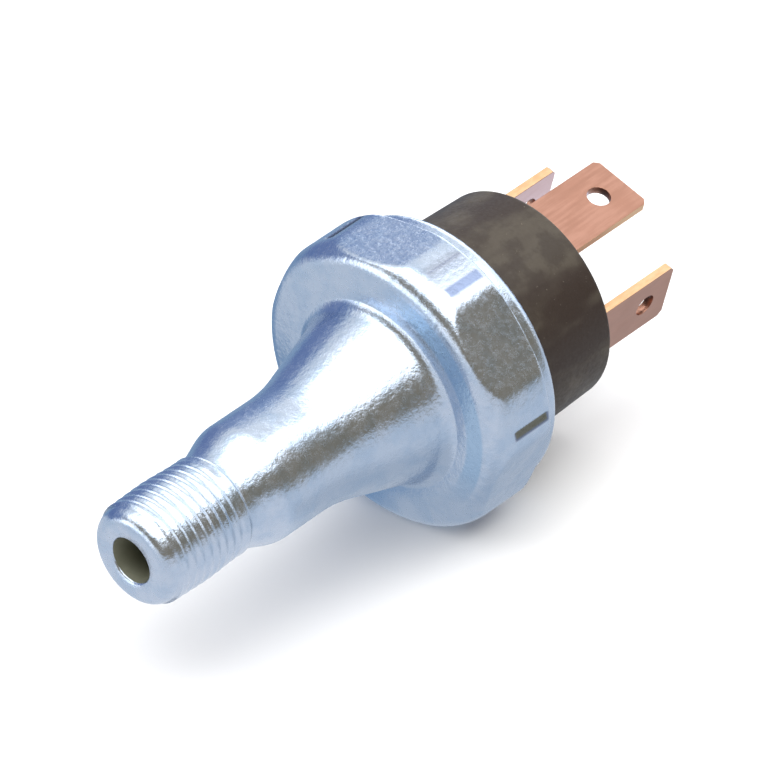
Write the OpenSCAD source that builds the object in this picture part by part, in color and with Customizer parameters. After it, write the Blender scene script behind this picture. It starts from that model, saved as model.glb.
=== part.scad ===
// Pressure switch: a threaded steel housing is crimped over a moulded base.
// A diaphragm in the housing pushes a plunger, which swings a leaf contact from
// the normally closed contact to the normally open one. Millimetres.
// The origin is the centre of the port's end face, +X runs along the axis
// towards the blades, and +Z is square to a wrench flat.

/* [Port and thread] */
// Radius of the pressure port
port_r = 2.2; // [1.6:0.1:2.8]
// Chamfer at the mouth of the port
port_chamfer = 0.3; // [0.1:0.05:0.6]
// Radius of the first thread crest, 1/8-27 taper pipe thread
thread_r = 4.93; // [4.2:0.01:6]
// Distance from one thread crest to the next
thread_pitch = 0.941; // [0.8:0.001:1.2]
// Depth of the thread below its crests
thread_depth = 0.55; // [0.3:0.05:0.6]
// Number of thread crests
thread_crests = 9; // [6:1:11]
// Length of the rounded nose in front of the thread
nose_len = 1.5; // [0.8:0.1:1.8]
// How far the nose's flat end lies inside the thread crests
nose_inset = 0.85; // [0.7:0.05:1.4]

/* [Snout] */
// How far the relief behind the thread lies inside the thread crests
relief_depth = 0.25; // [0.1:0.05:0.5]
// How far the collar stands out beyond the thread crests
collar_step = 0.87; // [0.5:0.01:1.5]
// Length of the round shoulder from the relief up to the collar
shoulder_len = 4.4; // [3:0.1:6]
// Length of the straight collar
collar_len = 6.8; // [5:0.1:9]
// Length of the conical flare
flare_len = 9.2; // [7:0.1:12]
// Radius of the bend from the collar into the flare
flare_bend_r = 14; // [6:1:16]
// Radius of the fillet where the flare meets the front face
root_fillet_r = 0.6; // [0.3:0.1:0.8]

/* [Hexagon] */
// Distance across the wrench flats
hex_af = 27; // [22:0.5:33]
// How far the round corners stand out beyond the flats
corner_step = 0.65; // [0.4:0.05:0.9]
// Length of the hexagon from the front face to the crimp
hex_len = 7.2; // [5.5:0.1:9]
// How far the rounded front edge reaches in from the corners
edge_in = 1.75; // [1:0.05:2]
// How far the rounded front edge reaches back along the corners
edge_back = 2.3; // [1:0.1:3]
// Rounding at the rear end of the corners
edge_rear = 0.5; // [0.2:0.05:0.6]
// Width of the flat lip inside the front edge
lip_w = 0.3; // [0.2:0.1:1]
// Width of the shallow groove in the front face
groove_w = 2; // [1.4:0.1:2.4]
// Depth of the shallow groove in the front face
groove_depth = 0.3; // [0.15:0.05:0.45]
// Width of the flat ring between the groove and the flare
ring_w = 1.5; // [1:0.05:1.8]
// Wall between the flats and the bore that holds the base
hex_wall = 1.4; // [1.2:0.05:2]
// Depth of the tool mark along each corner
mark_depth = 0.2; // [0.1:0.05:0.3]
// Width of the tool mark along each corner
mark_w = 0.9; // [0.6:0.1:1.2]
// Length of the tool mark along each corner
mark_len = 4.6; // [2:0.1:5]
// Angle from a corner's middle to its tool mark
mark_angle = 5; // [0:0.5:7]

/* [Crimp] */
// How far the crimped wall lies inside the flats
crimp_inset = 0.15; // [0.05:0.05:0.3]
// How far the crimp is rolled in over the base's flange
crimp_cover = 1.25; // [0.8:0.05:1.6]
// Thickness of the rolled lip
crimp_t = 0.9; // [0.7:0.05:1.3]
// Radius of the roll
crimp_roll_r = 1.1; // [0.7:0.05:1.2]

/* [Diaphragm stack] */
// Radius of the pressure chamber
chamber_r = 7.5; // [5.5:0.1:8]
// Depth of the pressure chamber
chamber_len = 1.2; // [0.8:0.1:2]
// Thickness of the seal ring
seal_t = 0.8; // [0.5:0.1:1.2]
// Thickness of the diaphragm
diaphragm_t = 0.25; // [0.15:0.05:0.4]
// Thickness of the clamp ring
clamp_t = 1; // [0.8:0.1:1.5]
// Radius of the pressure plate
plate_r = 7; // [5:0.1:7.4]
// Thickness of the pressure plate
plate_t = 0.8; // [0.6:0.1:1]

/* [Base] */
// Thickness of the base's flange
flange_t = 3.55; // [2.8:0.05:5]
// Length of the base behind the crimp
base_len = 10.2; // [8:0.1:14]
// How much the base's radius falls from the crimp to its end face
base_draft = 0.35; // [0.1:0.05:0.6]
// Radius of the base's rear edge
base_edge_r = 0.4; // [0.2:0.1:0.8]
// Wall of the base round its cavity
base_wall = 1.9; // [1.6:0.05:2.2]
// Thickness of the base's end wall
end_wall_t = 3.2; // [2.4:0.1:4.2]
// Angle from the flats to the blades, about the axis
base_clock = 24; // [0:0.5:60]

/* [Blades] */
// Width of a blade
blade_w = 6.35; // [4.8:0.05:7.7]
// Thickness of a blade
blade_t = 0.8; // [0.5:0.05:1]
// Length of a blade outside the base
blade_out = 10.8; // [8:0.1:13]
// Radius of the hole in a blade
blade_hole_r = 1.1; // [0.7:0.05:1.4]
// Distance from the hole to the end of the blade
blade_hole_back = 3.1; // [2:0.1:4]
// Chamfer at the corners of a blade's end
blade_chamfer = 0.45; // [0.3:0.05:1.2]

/* [Mechanism] */
// Travel of the plunger
travel = 0.4; // [0.3:0.01:0.48]
// Radius of the plunger's stem
stem_r = 1.5; // [1.2:0.05:1.8]
// Radius of the plunger's tip
tip_r = 0.9; // [0.7:0.05:1]
// Thickness of the leaf that carries the moving contact
leaf_t = 0.25; // [0.15:0.05:0.4]
// Radius of a contact
contact_r = 0.9; // [0.6:0.05:1.1]
// Height of a contact above its carrier
contact_h = 0.4; // [0.3:0.05:0.6]
// Radius of the spring's wire
wire_r = 0.2; // [0.15:0.01:0.25]
// Radius of the spring to the middle of its wire
coil_r = 2; // [1.8:0.05:2.05]
// Number of turns of the spring
coil_turns = 5; // [4:1:6]
// Radius of the adjusting screw over its thread
screw_r = 2.5; // [2.4:0.05:2.8]
// Length of the adjusting screw
screw_len = 3.2; // [3:0.1:3.8]

/* [Hidden] */
$fn = 96;

// Clearances
stack_clear = 0.1;
sliding_clear = 0.06;
mould_clear = 0.02;
rest_gap = 0.02;
travel_clear = 0.3;

// Radii of the housing, from the hexagon inwards
flat_r = hex_af / 2;
corner_r = flat_r + corner_step;
lip_out_r = corner_r - edge_in;
groove_out_r = lip_out_r - lip_w;
groove_in_r = groove_out_r - groove_w;
root_r = groove_in_r - ring_w;
bore_r = flat_r - hex_wall;
crimp_r = flat_r - crimp_inset;
nose_r = thread_r - nose_inset;
nose_edge = 0.65;
relief_r = thread_r - relief_depth;
collar_r = thread_r + collar_step;
thread_taper = 1 / 32;
mark_r = (pow(mark_w / 2, 2) + pow(mark_depth, 2)) / (2 * mark_depth);

// Places along the axis, from the port to the blades' ends
thread_x = nose_len;
thread_end_x = thread_x + thread_crests * thread_pitch;
shoulder_x = thread_end_x + 0.2;
collar_x = shoulder_x + shoulder_len;
flare_x = collar_x + collar_len;
flare_end_x = flare_x + flare_len;
face_x = flare_end_x + root_fillet_r;
hex_end_x = face_x + hex_len;
mark_x = hex_end_x - mark_len - 0.3;
chamber_floor_x = face_x + 1.4;
seat_x = chamber_floor_x + chamber_len;
diaphragm_x = seat_x + seal_t;
clamp_x = diaphragm_x + diaphragm_t;
flange_x = clamp_x + clamp_t;
flange_end_x = flange_x + flange_t;
crimp_end_x = flange_end_x + crimp_t;
base_end_x = crimp_end_x + base_len;
blade_end_x = base_end_x + blade_out;
cavity_end_x = base_end_x - end_wall_t;

// Radii of the base and of what it holds
stack_r = bore_r - stack_clear;
base_r = bore_r - crimp_cover - 0.15;
base_end_r = base_r - base_draft;
cavity_r = base_r - base_wall;
clamp_hole_r = plate_r + 0.6;
guide_r = cavity_r + 0.8;
blade_margin = 0.45;
blade_half = blade_w / 2;
blade_face = sqrt(pow(cavity_r - blade_margin, 2) - pow(blade_half, 2));
blade_inner = blade_face - blade_t;
blade_mid = blade_face - blade_t / 2;
shoulder_half = blade_half + 0.4;

// Plunger, from the plate to its tip
plate_x = clamp_x;
plate_back_x = plate_x + plate_t;
guide_x = plate_back_x + travel + travel_clear;
guide_t = 0.9;
guide_back_x = guide_x + guide_t;
guide_boss_len = 0.95;
crown_x = guide_back_x + guide_boss_len + 0.4;
crown_r = 2.3;
crown_ball_r = 2.6;
leaf_hole_r = 1.55;
neck_r = 1.2;
spigot_r = 0.75;
spigot_len = 0.6;
leaf_x = crown_x + 1.4;
leaf_back_x = leaf_x + leaf_t;
crown_centre_x = leaf_x - sqrt(pow(crown_ball_r, 2) - pow(leaf_hole_r, 2)) - rest_gap;
seat_front_x = leaf_x + 0.85;
seat_t = 0.6;
spring_seat_r = 2.7;
spring_x = seat_front_x + seat_t;

// Sealing plug, adjusting screw and the spring between it and its seat
plug_t = 0.5;
plug_x = base_end_x - plug_t - 0.15;
screw_x = plug_x - 0.2 - screw_len;
spring_len = screw_x - spring_x;
tip_end_x = screw_x + 1;

// Leaf: it is clamped beyond foot_edge and bends there
foot_edge = spring_seat_r + 0.9;
contact_v = cavity_r - 3.6;
swing = travel / foot_edge * 180 / PI;
leaf_mid_x = leaf_x + leaf_t / 2;
dome_r = 3;
rivet_r = 0.6;
rivet_head_r = 1.05;
rivet_head_t = 0.45;
rivet_u = 1.5;
rivet_v = (foot_edge + blade_inner) / 2;
nc_face_x = leaf_x - contact_h - rest_gap;
no_face_x = leaf_mid_x + (leaf_t / 2 + contact_h) * cos(swing)
    + (contact_v + foot_edge) * sin(swing) + dome_r * (1 - cos(swing)) + rest_gap;

// Insert, and the threads in it
insert_r = 3.4;
insert_flange_r = 4;
insert_flange_t = 0.4;
screw_pitch = 0.8;
screw_thread_depth = 0.4;
plug_r = insert_r + 0.2;
insert_end_x = plug_x - 0.1;

// The modules below are drawn with the switch's axis along Z, and this turns
// them so that the axis is X and the wrench flat faces Z
module on_axis() {
    rotate([90, 0, 90]) children();
}

// As above, turned to the blades: the common blade lies along +Y
module on_base() {
    on_axis() rotate([0, 0, base_clock]) children();
}

// Points of an arc, from angle a0 to a1, as [radius, place along the axis]
function arc(cr, cx, r, a0, a1, n = 6) =
    [for (i = [0:n]) let (a = a0 + (a1 - a0) * i / n) [cr + r * cos(a), cx + r * sin(a)]];

// A soft rise from [r0, x0] to [r1, x1]
function rise(r0, x0, r1, x1, n = 8) =
    [for (i = [0:n]) [r0 + (r1 - r0) * (1 - cos(180 * i / n)) / 2, x0 + (x1 - x0) * i / n]];

// Annular ridges, from crest to root and back, growing by taper along the axis
function ridges(crest, depth, x0, pitch, n, taper = 0) =
    [for (i = [0:n - 1]) for (p = [[depth, 0.05], [0, 0.4], [0, 0.6], [depth, 0.95]])
        let (x = x0 + (i + p[1]) * pitch) [crest - p[0] + taper * (x - x0), x]];

module ring(r_out, r_in, x0, x1) {
    translate([0, 0, x0]) difference() {
        cylinder(r = r_out, h = x1 - x0);
        translate([0, 0, -1]) cylinder(r = r_in, h = x1 - x0 + 2);
    }
}

// Outside of the housing, turned in one piece
module housing_outside() {
    bend = atan((root_r - collar_r) / flare_len);
    bend_len = flare_bend_r * tan(bend / 2);
    rotate_extrude() polygon(concat(
        [[0, 0]],
        [for (t = [0:15:90]) [nose_r + nose_edge * sin(t), (nose_len - 0.1) * (1 - cos(t))]],
        ridges(thread_r, thread_depth, thread_x, thread_pitch, thread_crests, thread_taper),
        rise(relief_r, shoulder_x, collar_r, collar_x),
        arc(collar_r + flare_bend_r, flare_x - bend_len, flare_bend_r, 180, 180 - bend, 4),
        arc(root_r + root_fillet_r, flare_end_x, root_fillet_r, 180, 90, 4),
        [for (t = [0:6]) [groove_in_r + groove_w * t / 6, face_x + groove_depth * sin(30 * t)]],
        [for (t = [0:15:90]) [lip_out_r + edge_in * sin(t), face_x + edge_back * (1 - cos(t))]],
        arc(corner_r - edge_rear, hex_end_x - edge_rear, edge_rear, 0, 90, 4),
        [[crimp_r, hex_end_x]],
        arc(crimp_r - crimp_roll_r, crimp_end_x - crimp_roll_r, crimp_roll_r, 0, 90),
        [[0, crimp_end_x]]
    ));
}

module housing() {
    color([0.72, 0.78, 0.86]) on_axis() difference() {
        housing_outside();
        // Wrench flats
        for (i = [0:5]) {
            rotate([0, 0, 30 + 60 * i])
                translate([flat_r, -flat_r, face_x])
                    cube([2 * corner_step, hex_af, crimp_end_x - face_x]);
        }
        // Tool marks along the corners, round-bottomed
        for (i = [0:5]) {
            rotate([0, 0, 60 * i + mark_angle])
                translate([corner_r - mark_depth + mark_r, 0, mark_x])
                    cylinder(r = mark_r, h = mark_len);
        }
        // Port, with its chamfered mouth
        translate([0, 0, -1]) cylinder(r = port_r, h = chamber_floor_x + 2);
        translate([0, 0, -1])
            cylinder(r1 = port_r + port_chamfer + 1, r2 = port_r, h = port_chamfer + 1);
        // Pressure chamber, bore for the base, and the hole in the rolled lip
        translate([0, 0, chamber_floor_x]) cylinder(r = chamber_r, h = crimp_end_x);
        translate([0, 0, seat_x]) cylinder(r = bore_r, h = flange_end_x - seat_x);
        translate([0, 0, seat_x]) cylinder(r = bore_r - crimp_cover, h = crimp_end_x);
    }
}

module seal_ring() {
    color([0.12, 0.12, 0.12]) on_axis() ring(stack_r, chamber_r + 0.5, seat_x, diaphragm_x);
}

module diaphragm() {
    color([0.75, 0.45, 0.15]) on_axis()
        translate([0, 0, diaphragm_x]) cylinder(r = stack_r, h = diaphragm_t);
}

module clamp_ring() {
    color([0.7, 0.72, 0.75]) on_axis() ring(stack_r, clamp_hole_r, clamp_x, flange_x);
}

// A disc with rounded edges and a blind hole for the plunger's spigot
module pressure_plate() {
    edge = 0.2;
    color([0.75, 0.77, 0.8]) on_axis() difference() {
        rotate_extrude() polygon(concat(
            [[0, plate_x]],
            arc(plate_r - edge, plate_x + edge, edge, -90, 0, 3),
            arc(plate_r - edge, plate_back_x - edge, edge, 0, 90, 3),
            [[0, plate_back_x]]
        ));
        translate([0, 0, plate_back_x - spigot_len - 0.05])
            cylinder(r = spigot_r + mould_clear, h = spigot_len + 1);
    }
}

// Its rim is trapped between the clamp ring and the base, and its boss guides
// the plunger's stem
module guide_plate() {
    rim_in_r = clamp_hole_r + 0.2;
    rim_r = guide_r - mould_clear;
    color([0.45, 0.3, 0.2]) on_axis() rotate_extrude() polygon([
        [stem_r + sliding_clear, guide_x],
        [rim_in_r, guide_x],
        [rim_in_r, flange_x],
        [rim_r, flange_x],
        [rim_r, guide_back_x],
        [stem_r + 1.1, guide_back_x],
        [stem_r + 1.1, guide_back_x + guide_boss_len],
        [stem_r + sliding_clear, guide_back_x + guide_boss_len]
    ]);
}

// The ball-shaped crown sits in the leaf's hole, so the leaf can tilt on it
module plunger() {
    a_rim = acos(crown_r / crown_ball_r);
    a_neck = acos(neck_r / crown_ball_r);
    color([0.93, 0.9, 0.82]) on_axis() rotate_extrude() polygon(concat(
        [[0, plate_back_x - spigot_len], [spigot_r, plate_back_x - spigot_len]],
        [[spigot_r, plate_back_x], [stem_r, plate_back_x], [stem_r, crown_x], [crown_r, crown_x]],
        arc(0, crown_centre_x, crown_ball_r, a_rim, a_neck),
        [[neck_r, seat_front_x], [tip_r, seat_front_x]],
        [[tip_r, tip_end_x - 0.3], [tip_r - 0.3, tip_end_x], [0, tip_end_x]]
    ));
}

module spring_seat() {
    hub_r = coil_r - wire_r - 0.3;
    color([0.85, 0.7, 0.35]) on_axis() union() {
        ring(spring_seat_r, tip_r + mould_clear, seat_front_x, spring_x);
        ring(hub_r, tip_r + mould_clear, spring_x - 0.1, spring_x + 0.8);
    }
}

// A round wire swept along a helix whose first and last turns lie flat
module calibration_spring() {
    sides = 8;
    rings = coil_turns * 20;
    rise_len = spring_len - 2 * wire_r - 2 * rest_gap;
    function climb(t) = t * t * (3 - 2 * t);
    function wire_point(i, k) =
        let (t = i / rings, a = 360 * coil_turns * t, b = 360 * k / sides,
             r = coil_r + wire_r * cos(b))
        [r * cos(a), r * sin(a), spring_x + rest_gap + wire_r + rise_len * climb(t) + wire_r * sin(b)];
    color([0.6, 0.62, 0.65]) on_axis() polyhedron(
        points = [for (i = [0:rings]) for (k = [0:sides - 1]) wire_point(i, k)],
        faces = concat(
            [[for (k = [0:sides - 1]) k]],
            [for (i = [0:rings - 1]) for (k = [0:sides - 1])
                let (n = (k + 1) % sides, p = i * sides, q = p + sides)
                [p + k, q + k, q + n, p + n]],
            [[for (k = [sides - 1:-1:0]) rings * sides + k]]
        )
    );
}

// Set screw with a blind hole for the plunger's tip and a screwdriver slot
module adjusting_screw() {
    crests = floor(screw_len / screw_pitch);
    color([0.78, 0.8, 0.83]) on_axis() difference() {
        rotate_extrude() polygon(concat(
            [[0, screw_x], [screw_r - screw_thread_depth, screw_x]],
            ridges(screw_r, screw_thread_depth, screw_x, screw_pitch, crests),
            [[screw_r - screw_thread_depth, screw_x + screw_len], [0, screw_x + screw_len]]
        ));
        translate([0, 0, screw_x - 1]) cylinder(r = tip_r + sliding_clear, h = 3.1);
        translate([-0.4, -screw_r - 1, screw_x + screw_len - 0.8])
            cube([0.8, 2 * screw_r + 2, 2]);
    }
}

module threaded_insert() {
    crests = ceil((insert_end_x - cavity_end_x + insert_flange_t) / screw_pitch) + 3;
    start_x = screw_x - screw_pitch;
    fit = 0.05;
    color([0.85, 0.68, 0.3]) on_axis() difference() {
        union() {
            translate([0, 0, cavity_end_x - insert_flange_t])
                cylinder(r = insert_flange_r, h = insert_flange_t);
            translate([0, 0, cavity_end_x - 0.1])
                cylinder(r = insert_r, h = insert_end_x - cavity_end_x + 0.1);
        }
        rotate_extrude() polygon(concat(
            [[0, start_x]],
            ridges(screw_r + fit, screw_thread_depth, start_x, screw_pitch, crests),
            [[0, start_x + crests * screw_pitch]]
        ));
    }
}

module seal_plug() {
    color([0.15, 0.14, 0.13]) on_axis() translate([0, 0, plug_x])
        cylinder(r = plug_r - mould_clear, h = plug_t);
}

// Cup that closes the housing, with a slot for each blade in its end wall
module base() {
    slot_w = blade_w + 2 * mould_clear;
    slot_t = blade_t + 2 * mould_clear;
    color([0.3, 0.26, 0.22]) on_base() difference() {
        rotate_extrude() polygon(concat(
            [[0, flange_x], [stack_r, flange_x], [stack_r, flange_end_x], [base_r, flange_end_x]],
            arc(base_end_r - base_edge_r, base_end_x - base_edge_r, base_edge_r, 0, 90, 4),
            [[0, base_end_x]]
        ));
        translate([0, 0, flange_x - 1]) cylinder(r = guide_r, h = guide_back_x - flange_x + 1);
        translate([0, 0, flange_x]) cylinder(r = cavity_r, h = cavity_end_x - flange_x);
        translate([0, 0, flange_x]) cylinder(r = insert_r + mould_clear, h = base_end_x);
        translate([0, 0, plug_x]) cylinder(r = plug_r, h = base_end_x);
        for (a = [-90, 0, 90]) {
            rotate([0, 0, a]) translate([-slot_w / 2, blade_mid - slot_t / 2, flange_x])
                cube([slot_w, slot_t, base_end_x]);
        }
    }
}

// A blade along +Y of the base, from x0 to its end, with stop shoulders inside
module blade(x0) {
    shoulder_start = cavity_end_x - 2;
    end_w = blade_half - blade_chamfer;
    translate([0, blade_face, 0]) rotate([90, 0, 0]) linear_extrude(blade_t) difference() {
        polygon([
            [-blade_half, x0], [blade_half, x0],
            [blade_half, shoulder_start], [shoulder_half, shoulder_start],
            [shoulder_half, cavity_end_x], [blade_half, cavity_end_x],
            [blade_half, blade_end_x - blade_chamfer], [end_w, blade_end_x],
            [-end_w, blade_end_x], [-blade_half, blade_end_x - blade_chamfer],
            [-blade_half, cavity_end_x], [-shoulder_half, cavity_end_x],
            [-shoulder_half, shoulder_start], [-blade_half, shoulder_start]
        ]);
        translate([0, blade_end_x - blade_hole_back]) circle(r = blade_hole_r);
    }
}

// The quarter-round outside of the bend between a blade and its foot, from u0 to u1
module bend(x0, u0, u1) {
    intersection() {
        translate([u0, blade_inner, x0 + blade_t]) rotate([0, 90, 0])
            cylinder(r = blade_t, h = u1 - u0);
        translate([u0, blade_inner, x0]) cube([u1 - u0, blade_t, blade_t]);
    }
}

module terminal_common() {
    x0 = leaf_back_x;
    color([0.8, 0.55, 0.42]) on_base() union() {
        blade(x0 + blade_t);
        bend(x0, -blade_half, blade_half);
        difference() {
            translate([-blade_half, foot_edge, x0])
                cube([blade_w, blade_inner - foot_edge, blade_t]);
            for (u = [-rivet_u, rivet_u]) {
                translate([u, rivet_v, x0 - 1]) cylinder(r = rivet_r + mould_clear, h = blade_t + 2);
            }
        }
    }
}

// Foot of a fixed contact: it passes round the plunger to the leaf's end
module contact_foot(x0, side) {
    top = blade_inner;
    half = 1.4;
    near = contact_v - half;
    far = contact_v + half;
    mirror([side < 0 ? 1 : 0, 0, 0]) {
        blade(x0 + blade_t);
        bend(x0, -1, blade_half);
        // Where the foot is narrower than the blade, the blade ends square above it
        difference() {
            translate([0, 0, x0]) linear_extrude(blade_t) polygon([
                [-1, top], [blade_half, top], [far + 0.3, contact_v - 2.2],
                [far + 0.3, 1], [far, -half + 0.1], [near, -half + 0.1],
                [near, 2], [-1, top - 1.5]
            ]);
            translate([contact_v, 0, x0 - 1]) cylinder(r = contact_r / 2 + mould_clear, h = blade_t + 2);
        }
    }
}

module terminal_nc() {
    color([0.8, 0.55, 0.42]) on_base() rotate([0, 0, -90])
        contact_foot(nc_face_x - contact_h - blade_t, 1);
}

module terminal_no() {
    color([0.8, 0.55, 0.42]) on_base() rotate([0, 0, 90])
        contact_foot(no_face_x + contact_h, -1);
}

// Spring leaf: clamped at the common terminal's foot, with a ring for the
// plunger and a tongue for the moving contact
module contact_arm() {
    tab_half = 2.8;
    color([0.88, 0.7, 0.4]) on_base() translate([0, 0, leaf_x]) linear_extrude(leaf_t)
        difference() {
            union() {
                translate([-tab_half, foot_edge]) square([2 * tab_half, blade_inner - foot_edge - 0.2]);
                translate([-1.9, 1.5]) square([3.8, foot_edge - 1.4]);
                circle(r = spring_seat_r);
                translate([-1.2, -contact_v]) square([2.4, contact_v - 1.8]);
                translate([0, -contact_v]) circle(r = contact_r + 0.4);
            }
            circle(r = leaf_hole_r);
            translate([0, -contact_v]) circle(r = contact_r / 2 + mould_clear);
            for (u = [-rivet_u, rivet_u]) {
                translate([u, rivet_v]) circle(r = rivet_r + mould_clear);
            }
        }
}

// A rivet with a domed head on each side of the leaf
module moving_contact() {
    sag = dome_r - sqrt(pow(dome_r, 2) - pow(contact_r, 2));
    a = asin(contact_r / dome_r);
    front_x = leaf_x - contact_h;
    back_x = leaf_back_x + contact_h;
    color([0.86, 0.86, 0.88]) on_base() translate([0, -contact_v, 0])
        rotate_extrude() polygon(concat(
            [[0, front_x]],
            arc(0, front_x + dome_r, dome_r, -90 + a / 2, -90 + a, 2),
            [[contact_r, leaf_x], [contact_r / 2, leaf_x]],
            [[contact_r / 2, leaf_back_x], [contact_r, leaf_back_x], [contact_r, back_x - sag]],
            arc(0, back_x - dome_r, dome_r, 90 - a, 90 - a / 2, 2),
            [[0, back_x]]
        ));
}

// A flat contact with a shank through its foot. The face is at x = 0, and the
// shank runs towards +Z
module fixed_contact() {
    edge = 0.12;
    rotate_extrude() polygon([
        [0, 0], [contact_r - edge, 0], [contact_r, edge], [contact_r, contact_h],
        [contact_r / 2, contact_h], [contact_r / 2, contact_h + blade_t - 0.05],
        [0, contact_h + blade_t - 0.05]
    ]);
}

module fixed_contact_nc() {
    color([0.86, 0.86, 0.88]) on_base() translate([0, -contact_v, nc_face_x])
        rotate([180, 0, 0]) fixed_contact();
}

module fixed_contact_no() {
    color([0.86, 0.86, 0.88]) on_base() translate([0, -contact_v, no_face_x]) fixed_contact();
}

// Two rivets that clamp the leaf to the common terminal's foot
module arm_rivets() {
    back_x = leaf_back_x + blade_t;
    color([0.8, 0.62, 0.35]) on_base() for (u = [-rivet_u, rivet_u]) {
        translate([u, rivet_v, 0]) rotate_extrude() polygon([
            [0, leaf_x - rivet_head_t], [rivet_head_r * 0.6, leaf_x - rivet_head_t],
            [rivet_head_r, leaf_x - rivet_head_t / 2], [rivet_head_r, leaf_x],
            [rivet_r, leaf_x], [rivet_r, back_x],
            [rivet_head_r, back_x], [rivet_head_r, back_x + rivet_head_t / 2],
            [rivet_head_r * 0.6, back_x + rivet_head_t], [0, back_x + rivet_head_t]
        ]);
    }
}

housing();
seal_ring();
diaphragm();
clamp_ring();
pressure_plate();
guide_plate();
plunger();
spring_seat();
calibration_spring();
adjusting_screw();
threaded_insert();
seal_plug();
base();
terminal_common();
terminal_nc();
terminal_no();
contact_arm();
moving_contact();
fixed_contact_nc();
fixed_contact_no();
arm_rivets();
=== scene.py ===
"""Pressure switch: the looks of its pieces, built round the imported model.

Lengths are metres in the model's own frame: +X runs along the switch's axis
from the port to the blades, and +Z is square to a wrench flat.
"""

import math

import bmesh
import bpy
from mathutils import Matrix, Vector


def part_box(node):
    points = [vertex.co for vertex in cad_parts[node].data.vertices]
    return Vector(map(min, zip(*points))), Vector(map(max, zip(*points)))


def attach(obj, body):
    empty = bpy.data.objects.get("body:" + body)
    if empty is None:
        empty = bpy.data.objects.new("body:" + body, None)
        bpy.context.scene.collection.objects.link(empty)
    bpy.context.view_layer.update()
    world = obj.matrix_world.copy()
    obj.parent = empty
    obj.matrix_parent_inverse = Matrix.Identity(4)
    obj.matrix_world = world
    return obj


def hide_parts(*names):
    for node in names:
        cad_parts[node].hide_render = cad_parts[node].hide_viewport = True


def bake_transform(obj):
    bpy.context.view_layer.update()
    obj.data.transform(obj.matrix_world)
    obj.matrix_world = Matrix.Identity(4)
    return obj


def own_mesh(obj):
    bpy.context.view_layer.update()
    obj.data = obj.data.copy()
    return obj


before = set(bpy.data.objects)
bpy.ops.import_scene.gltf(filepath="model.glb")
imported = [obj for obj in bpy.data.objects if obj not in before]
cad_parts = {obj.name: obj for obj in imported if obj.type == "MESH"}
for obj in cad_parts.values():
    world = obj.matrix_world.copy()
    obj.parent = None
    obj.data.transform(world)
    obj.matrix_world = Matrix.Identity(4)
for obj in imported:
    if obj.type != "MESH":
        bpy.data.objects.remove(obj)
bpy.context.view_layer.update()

# ---------------------------------------------------------------- housing
# The steel housing is turned from bar and cold formed: a rounded nose with
# the port, a taper pipe thread, a collar, a flare and a soft-edged hexagon.
# Its wall is rolled in over the base, and it is plated with clear blue zinc.

mm = 0.001
housing_low, housing_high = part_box("housing")
flat_r = housing_high.z
corner_r = housing_high.y
crimp_end_x = housing_high.x

port_r = 2.2 * mm
port_chamfer = 0.18 * mm
nose_r = 3.55 * mm
nose_edge = 1.16 * mm
nose_len = 1.5 * mm
nose_round = nose_len - 0.1 * mm
thread_r = 4.93 * mm
thread_pitch = 0.941 * mm
thread_turns = 9
thread_depth = 0.1 * mm
thread_wash = 0.32 * mm
thread_taper = 1 / 32
relief_r = thread_r - 0.25 * mm
collar_r = thread_r + 0.87 * mm
thread_end_x = nose_len + thread_turns * thread_pitch
shoulder_x = thread_end_x + 0.2 * mm
collar_x = shoulder_x + 4.4 * mm
flare_x = collar_x + 6.8 * mm
flare_bend_r = 14 * mm
face_x = flare_x + 9.8 * mm

edge_in = 1.9 * mm
edge_back = 2.3 * mm
edge_rear = 0.5 * mm
lip_out_r = corner_r - edge_in
slope_in_r = lip_out_r - 1.9 * mm
slope_depth = 0.2 * mm
slope_curve = 1.25
# Where the painted blue reflection on the front face is centred, and how it fades in and out.
blue_band_turn = math.radians(165)
blue_band_in = 0.35 * mm
blue_band_out = 0.25 * mm
root_arc_r = 1.7 * mm
root_lean = math.radians(16.5)
root_stop = math.radians(68)
flare_end_x = face_x - root_arc_r * (math.sin(root_stop) - math.sin(root_lean))
root_r = collar_r + (flare_end_x - flare_x) * math.tan(root_lean)
root_arc_end_r = root_r + root_arc_r * (math.cos(root_lean) - math.cos(root_stop))
hex_end_x = face_x + 7.2 * mm
flat_softness = 0.2 * mm
crimp_r = flat_r - 0.15 * mm
crimp_t = 0.9 * mm
crimp_roll_r = 1.1 * mm
bore_r = flat_r - 1.4 * mm
crimp_cover = 1.25 * mm
crimp_bevel_w = 0.15 * mm
crimp_bevel_t = 0.1 * mm
flange_end_x = crimp_end_x - crimp_t
chamber_r = 7.5 * mm
chamber_floor_x = face_x + 1.4 * mm
seat_x = chamber_floor_x + 1.2 * mm
port_seam_r = port_r + 0.4 * mm
floor_seam_r = port_r + 0.8 * mm
root_seam_r = slope_in_r - 0.2 * mm
face_seam_r = slope_in_r - 0.08 * mm
snout_steps = 192
head_steps = 480

corner_skin = 0.3 * mm
mark_depth = 0.24 * mm
mark_len = 4.6 * mm
mark_fade = 0.4 * mm
mark_start = math.radians(3)
mark_drop = math.radians(0.75)
mark_turn = math.radians(4.5)
mark_x = hex_end_x - 0.3 * mm - mark_len
mark_end_x = mark_x + mark_len
rub_turn = math.radians(9)
rub_fade = math.radians(2.5)
rub_lead = 0.7 * mm
line_turn = math.radians(-5)
line_w = 0.4 * mm
rub_level = 0.15
stripe_level = 0.5
line_level = 0.4


def arc(cx, cr, r, start, end, steps):
    """Points (x, radius) along an arc. Angles are degrees from the radial direction towards +X."""
    turns = [math.radians(start + (end - start) * i / steps) for i in range(steps + 1)]
    return [(cx + r * math.sin(t), cr + r * math.cos(t)) for t in turns]


def straight(x0, r0, x1, r1, steps):
    """Points (x, radius) along a straight line, without its first point."""
    return [(x0 + (x1 - x0) * i / steps, r0 + (r1 - r0) * i / steps) for i in range(1, steps + 1)]


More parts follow.
